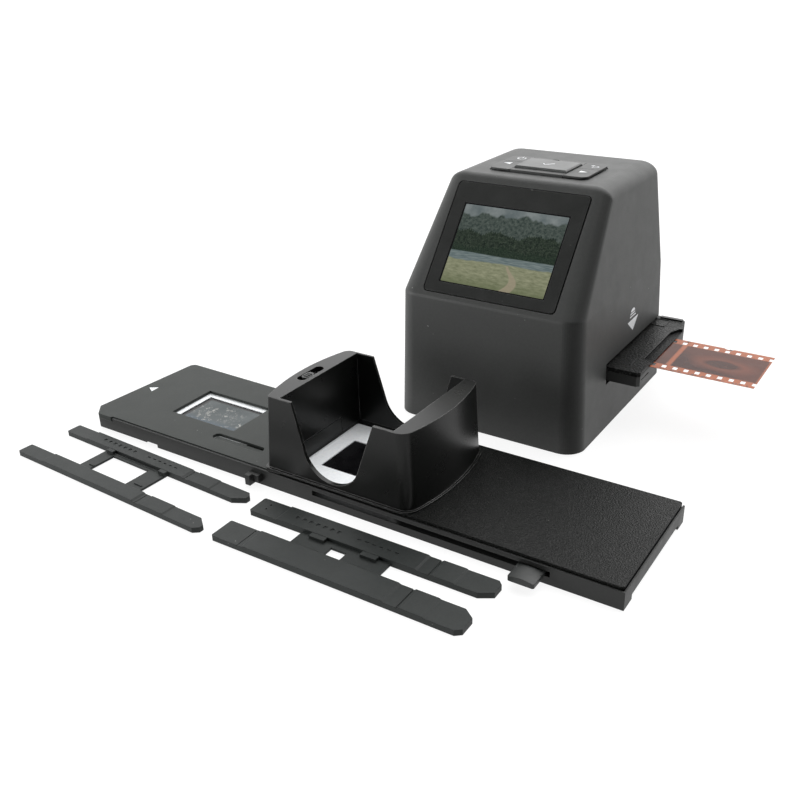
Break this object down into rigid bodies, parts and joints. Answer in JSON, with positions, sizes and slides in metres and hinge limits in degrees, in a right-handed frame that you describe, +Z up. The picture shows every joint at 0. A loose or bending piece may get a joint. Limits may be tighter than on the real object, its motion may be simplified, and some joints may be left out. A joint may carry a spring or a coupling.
{
  "type": "film and slide scanner",
  "caption": "Desktop film and slide scanner tower with tilted display and top keys, sliding film holder with film strip, plus a slide feeder tray with chute and pusher and film inserts",
  "frame": {"origin": "centre of the scanner tower's underside, on the table", "axes": "+X to the side where the film leaves, +Y to the back of the tower (display faces -Y), +Z up"},
  "size_m": [0.264, 0.2264, 0.1061],
  "materials": {
    "shell": "fine matte moulded finish",
    "black_grain": "black, fine spark-eroded grain",
    "satin_black": "smooth satin black",
    "dark_smooth": "smooth dark grey",
    "mid_grey": "smooth mid grey",
    "inner_black": "plain moulded black",
    "foot_rubber": "matte rubber",
    "screw_steel": "zinc plated",
    "sheet_metal": "stamped tin plate",
    "board": "solder mask on glass-epoxy board",
    "component": "epoxy component bodies",
    "white_diffuser": "white translucent plastic",
    "led": "clear lens over phosphor",
    "optic_glass": "coated glass",
    "screen": null,
    "slide_white": "light grey-white slide mount",
    "slide_dark": "dark transparency film",
    "film_base": "orange negative film base",
    "card_blue": "dark blue memory card"
  },
  "bodies": {
    "scanner": {"housing": "shell", "base_plate": "inner_black", "foot_pads": "foot_rubber", "base_screws": "screw_steel", "bezel": "dark_smooth", "lcd_panel": "screen", "lcd_module": "sheet_metal", "lcd_retainer": "inner_black", "keypad_plate": "shell", "status_lens": "white_diffuser", "key_board": "board", "key_switches": "sheet_metal", "main_board": "board", "main_chips": "component", "io_board": "board", "usb_inlet": "sheet_metal", "video_jack": "component", "card_socket": "sheet_metal", "board_screws": "screw_steel", "gate_frame": "inner_black", "detent_plunger": "screw_steel", "light_board": "board", "light_leds": "led", "light_box": "white_diffuser", "diffuser": "white_diffuser", "lens_barrel": "inner_black", "lens_glass": "optic_glass", "sensor_bracket": "inner_black", "sensor_board": "board", "sensor_chip": "component"},
    "key_power_body": {"key_power": "shell"},
    "key_left_body": {"key_left": "shell"},
    "key_right_body": {"key_right": "shell"},
    "key_back_body": {"key_back": "shell"},
    "key_ok_body": {"key_ok": "shell"},
    "card": {"memory_card": "card_blue"},
    "film_holder": {"holder_base": "black_grain", "holder_cover": "black_grain", "holder_latch": "dark_smooth"},
    "film": {"film_strip": "film_base"},
    "feeder": {"feeder_base": "inner_black", "feeder_plate": "mid_grey", "feeder_cover": "black_grain", "feeder_stop": "inner_black", "feeder_screws": "screw_steel", "chute": "satin_black", "chute_gate": "satin_black"},
    "pusher_body": {"pusher": "dark_smooth"},
    "selector": {"chute_selector": "dark_smooth"},
    "slide_a": {"slide_a_mount": "slide_white", "slide_a_film": "slide_dark"},
    "slide_b": {"slide_b_mount": "slide_white", "slide_b_film": "slide_dark"},
    "wide_insert": {"insert_wide": "dark_smooth"},
    "narrow_insert": {"insert_narrow": "dark_smooth"}
  },
  "joints": [
    {"name": "key_power_press", "type": "slide", "parent": "scanner", "child": "key_power_body", "axis": [0, 0, -1], "range_m": [0, 0.0005], "stiffness_N_per_m": 2000},
    {"name": "key_left_press", "type": "slide", "parent": "scanner", "child": "key_left_body", "axis": [0, 0, -1], "range_m": [0, 0.0005], "stiffness_N_per_m": 2000},
    {"name": "key_right_press", "type": "slide", "parent": "scanner", "child": "key_right_body", "axis": [0, 0, -1], "range_m": [0, 0.0005], "stiffness_N_per_m": 2000},
    {"name": "key_back_press", "type": "slide", "parent": "scanner", "child": "key_back_body", "axis": [0, 0, -1], "range_m": [0, 0.0005], "stiffness_N_per_m": 2000},
    {"name": "key_ok_press", "type": "slide", "parent": "scanner", "child": "key_ok_body", "axis": [0, 0, -1], "range_m": [0, 0.0005], "stiffness_N_per_m": 2000},
    {"name": "card_slide", "type": "slide", "parent": "scanner", "child": "card", "axis": [0, 1, 0], "range_m": [-0.0008, 0.035]},
    {"name": "holder_slide", "type": "slide", "parent": "scanner", "child": "film_holder", "axis": [1, 0, 0], "range_m": [-0.038, 0.112]},
    {"name": "film_feed", "type": "slide", "parent": "film_holder", "child": "film", "axis": [1, 0, 0], "range_m": [-0.0435, 0.112]},
    {"name": "feeder_lift", "type": "slide", "parent": "scanner", "child": "feeder", "axis": [0, 0, 1], "range_m": [0, 0.12]},
    {"name": "pusher_slide", "type": "slide", "parent": "feeder", "child": "pusher_body", "axis": [-1, 0, 0], "range_m": [0, 0.0865]},
    {"name": "slide_b_push", "type": "slide", "parent": "feeder", "child": "slide_b", "axis": [-1, 0, 0], "range_m": [0, 0.0865]},
    {"name": "slide_a_eject", "type": "slide", "parent": "feeder", "child": "slide_a", "axis": [-1, 0, 0], "range_m": [0, 0.0542]},
    {"name": "selector_slide", "type": "slide", "parent": "feeder", "child": "selector", "axis": [0, 1, 0], "range_m": [-0.0026, 0.0062]},
    {"name": "wide_insert_lift", "type": "slide", "parent": "scanner", "child": "wide_insert", "axis": [0, 0, 1], "range_m": [0, 0.06]},
    {"name": "narrow_insert_lift", "type": "slide", "parent": "scanner", "child": "narrow_insert", "axis": [0, 0, 1], "range_m": [0, 0.06]}
  ],
  "couplings": [
    {"joint": "slide_b_push", "follows": "pusher_slide", "ratio": 1},
    {"joint": "slide_a_eject", "follows": "pusher_slide", "ratio": 0.6266}
  ]
}
